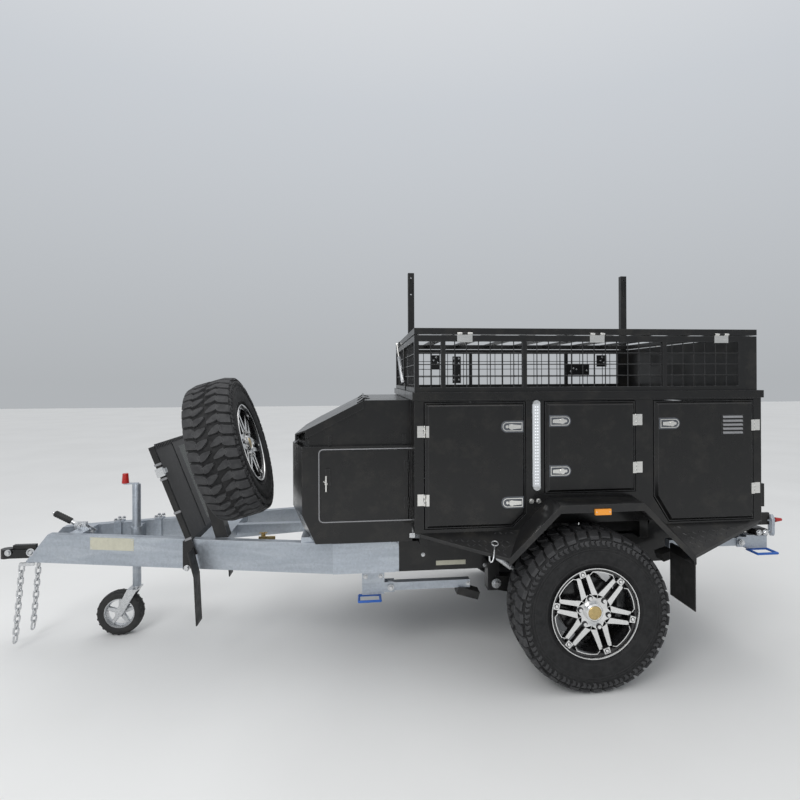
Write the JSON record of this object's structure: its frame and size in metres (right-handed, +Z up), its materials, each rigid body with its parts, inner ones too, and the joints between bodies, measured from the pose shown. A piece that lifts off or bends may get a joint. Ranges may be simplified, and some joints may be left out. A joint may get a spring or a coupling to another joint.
{
  "type": "off-road camper trailer",
  "caption": "Single-axle off-road box camper trailer with side lockers, roof basket, nose box, spare wheel, stone guard, jockey wheel and fold-down legs.",
  "frame": {"origin": "on the ground, in the middle of the trailer's length and width", "axes": "-X towards the coupling, +X to the tail, +Y to the off side, +Z up"},
  "size_m": [4.673, 1.884, 2.48],
  "materials": {
    "tyre": "matte mud terrain rubber",
    "rim": "black with machined faces",
    "galvanised": "hot dip galvanised",
    "black_steel": "black powder coat",
    "body_paint": "black satin powder coat",
    "checker": "black checker plate",
    "rubber": "black rubber",
    "chrome": "polished stainless",
    "zinc": "bright zinc",
    "cloth": "coated cloth",
    "lamp": "lamp lens"
  },
  "bodies": {
    "trailer": {"air_springs": "rubber", "basket_ends": "black_steel", "basket_sides": "black_steel", "chassis_crossmembers": "black_steel", "chassis_rails": "black_steel", "coupling": "black_steel", "drawbar_plates": "galvanised", "drawbar_rails": "galvanised", "end_walls": "body_paint", "fixed_hinges": "chrome", "floor": "body_paint", "guards": "checker", "jockey_tube": "galvanised", "lamps": "lamp", "nose_box": "body_paint", "partitions": "body_paint", "rack_posts": "black_steel", "recovery_lugs": "galvanised", "roof": "body_paint", "rubber_flaps": "rubber", "safety_chains": "zinc", "side_walls": "body_paint", "spare_carrier": "black_steel", "spare_rim": "rim", "spare_tyre": "tyre", "stabiliser_brackets": "galvanised", "stone_cloth": "cloth", "stone_guard": "black_steel", "strut_feet": "black_steel", "suspension_arms": "black_steel", "wheel_tubs": "body_paint"},
    "wheel_left": {"tyre_left": "tyre", "rim_left": "rim"},
    "wheel_right": {"tyre_right": "tyre", "rim_right": "rim"},
    "door_front_left": {"door_front_left": "body_paint"},
    "door_front_right": {"door_front_right": "body_paint"},
    "door_middle_left": {"door_middle_left": "body_paint"},
    "door_middle_right": {"door_middle_right": "body_paint"},
    "door_rear_left": {"door_rear_left": "body_paint"},
    "door_rear_right": {"door_rear_right": "body_paint"},
    "rear_door": {"rear_door": "body_paint"},
    "nose_door_left": {"nose_door_left": "body_paint"},
    "nose_door_right": {"nose_door_right": "body_paint"},
    "nose_lid": {"nose_lid": "body_paint"},
    "rack_lid": {"rack_lid": "black_steel"},
    "strut_cylinder_front": {"strut_cylinder_front": "zinc"},
    "strut_rod_front": {"strut_rod_front": "chrome"},
    "strut_cylinder_rear": {"strut_cylinder_rear": "zinc"},
    "strut_rod_rear": {"strut_rod_rear": "chrome"},
    "jockey_leg": {"jockey_leg": "zinc"},
    "jockey_wheel": {"jockey_wheel": "rubber"},
    "stabiliser_front_left": {"stabiliser_front_left": "galvanised"},
    "stabiliser_front_right": {"stabiliser_front_right": "galvanised"},
    "stabiliser_rear_left": {"stabiliser_rear_left": "galvanised"},
    "stabiliser_rear_right": {"stabiliser_rear_right": "galvanised"}
  },
  "joints": [
    {"name": "wheel_spin_left", "type": "hinge", "parent": "trailer", "child": "wheel_left", "pos_m": [1.0745, -0.794, 0.4155], "axis": [0, 1, 0], "continuous": true},
    {"name": "door_front_swing_left", "type": "hinge", "parent": "trailer", "child": "door_front_left", "pos_m": [0.21, -0.751, 1.167], "axis": [0, 0, -1], "range_deg": [0, 90]},
    {"name": "door_middle_swing_left", "type": "hinge", "parent": "trailer", "child": "door_middle_left", "pos_m": [1.384, -0.751, 1.254], "axis": [0, 0, 1], "range_deg": [0, 90]},
    {"name": "door_rear_swing_left", "type": "hinge", "parent": "trailer", "child": "door_rear_left", "pos_m": [2.082, -0.751, 1.167], "axis": [0, 0, 1], "range_deg": [0, 110]},
    {"name": "nose_door_swing_left", "type": "hinge", "parent": "trailer", "child": "nose_door_left", "pos_m": [0.137, -0.606, 1.045], "axis": [0, 0, 1], "range_deg": [0, 90]},
    {"name": "stabiliser_front_swing_left", "type": "hinge", "parent": "trailer", "child": "stabiliser_front_left", "pos_m": [0.0415, -0.475, 0.442], "axis": [0, 1, 0], "range_deg": [0, 49]},
    {"name": "stabiliser_rear_swing_left", "type": "hinge", "parent": "trailer", "child": "stabiliser_rear_left", "pos_m": [2.0485, -0.655, 0.681], "axis": [0, -1, 0], "range_deg": [0, 90]},
    {"name": "wheel_spin_right", "type": "hinge", "parent": "trailer", "child": "wheel_right", "pos_m": [1.0745, 0.794, 0.4155], "axis": [0, 1, 0], "continuous": true},
    {"name": "door_front_swing_right", "type": "hinge", "parent": "trailer", "child": "door_front_right", "pos_m": [0.21, 0.751, 1.167], "axis": [0, 0, 1], "range_deg": [0, 90]},
    {"name": "door_middle_swing_right", "type": "hinge", "parent": "trailer", "child": "door_middle_right", "pos_m": [1.384, 0.751, 1.254], "axis": [0, 0, -1], "range_deg": [0, 90]},
    {"name": "door_rear_swing_right", "type": "hinge", "parent": "trailer", "child": "door_rear_right", "pos_m": [2.082, 0.751, 1.167], "axis": [0, 0, -1], "range_deg": [0, 110]},
    {"name": "nose_door_swing_right", "type": "hinge", "parent": "trailer", "child": "nose_door_right", "pos_m": [0.137, 0.606, 1.045], "axis": [0, 0, -1], "range_deg": [0, 90]},
    {"name": "stabiliser_front_swing_right", "type": "hinge", "parent": "trailer", "child": "stabiliser_front_right", "pos_m": [0.0415, 0.475, 0.442], "axis": [0, 1, 0], "range_deg": [0, 49]},
    {"name": "stabiliser_rear_swing_right", "type": "hinge", "parent": "trailer", "child": "stabiliser_rear_right", "pos_m": [2.0485, 0.655, 0.681], "axis": [0, -1, 0], "range_deg": [0, 90]},
    {"name": "rear_door_swing", "type": "hinge", "parent": "trailer", "child": "rear_door", "pos_m": [2.1375, 0.6025, 1.17], "axis": [0, 0, 1], "range_deg": [0, 100]},
    {"name": "nose_lid_swing", "type": "hinge", "parent": "trailer", "child": "nose_lid", "pos_m": [-0.1075, 0, 1.518], "axis": [0, 1, 0], "range_deg": [0, 70]},
    {"name": "rack_lid_swing", "type": "hinge", "parent": "trailer", "child": "rack_lid", "pos_m": [1.0745, -0.742, 1.871], "axis": [1, 0, 0], "range_deg": [0, 28]},
    {"name": "strut_swing_front", "type": "hinge", "parent": "trailer", "child": "strut_cylinder_front", "pos_m": [0.1425, -0.15, 1.607], "axis": [1, 0, 0], "range_deg": [0, 37.3]},
    {"name": "strut_slide_front", "type": "slide", "parent": "strut_cylinder_front", "child": "strut_rod_front", "axis": [0, 0.8833, 0.4688], "range_m": [0, 0.301]},
    {"name": "strut_swing_rear", "type": "hinge", "parent": "trailer", "child": "strut_cylinder_rear", "pos_m": [2.1315, -0.15, 1.607], "axis": [1, 0, 0], "range_deg": [0, 37.3]},
    {"name": "strut_slide_rear", "type": "slide", "parent": "strut_cylinder_rear", "child": "strut_rod_rear", "axis": [0, 0.8833, 0.4688], "range_m": [0, 0.301]},
    {"name": "jockey_wind", "type": "slide", "parent": "trailer", "child": "jockey_leg", "axis": [0, 0, 1], "range_m": [-0.19, 0]},
    {"name": "jockey_roll", "type": "hinge", "parent": "jockey_leg", "child": "jockey_wheel", "pos_m": [-1.6635, 0.07, 0.14], "axis": [0, 1, 0], "continuous": true}
  ],
  "couplings": [
    {"joint": "strut_swing_front", "follows": "rack_lid_swing", "ratio": 1.2963},
    {"joint": "strut_slide_front", "follows": "rack_lid_swing", "m_per_rad": 0.6052},
    {"joint": "strut_swing_rear", "follows": "rack_lid_swing", "ratio": 1.2963},
    {"joint": "strut_slide_rear", "follows": "rack_lid_swing", "m_per_rad": 0.6052}
  ]
}
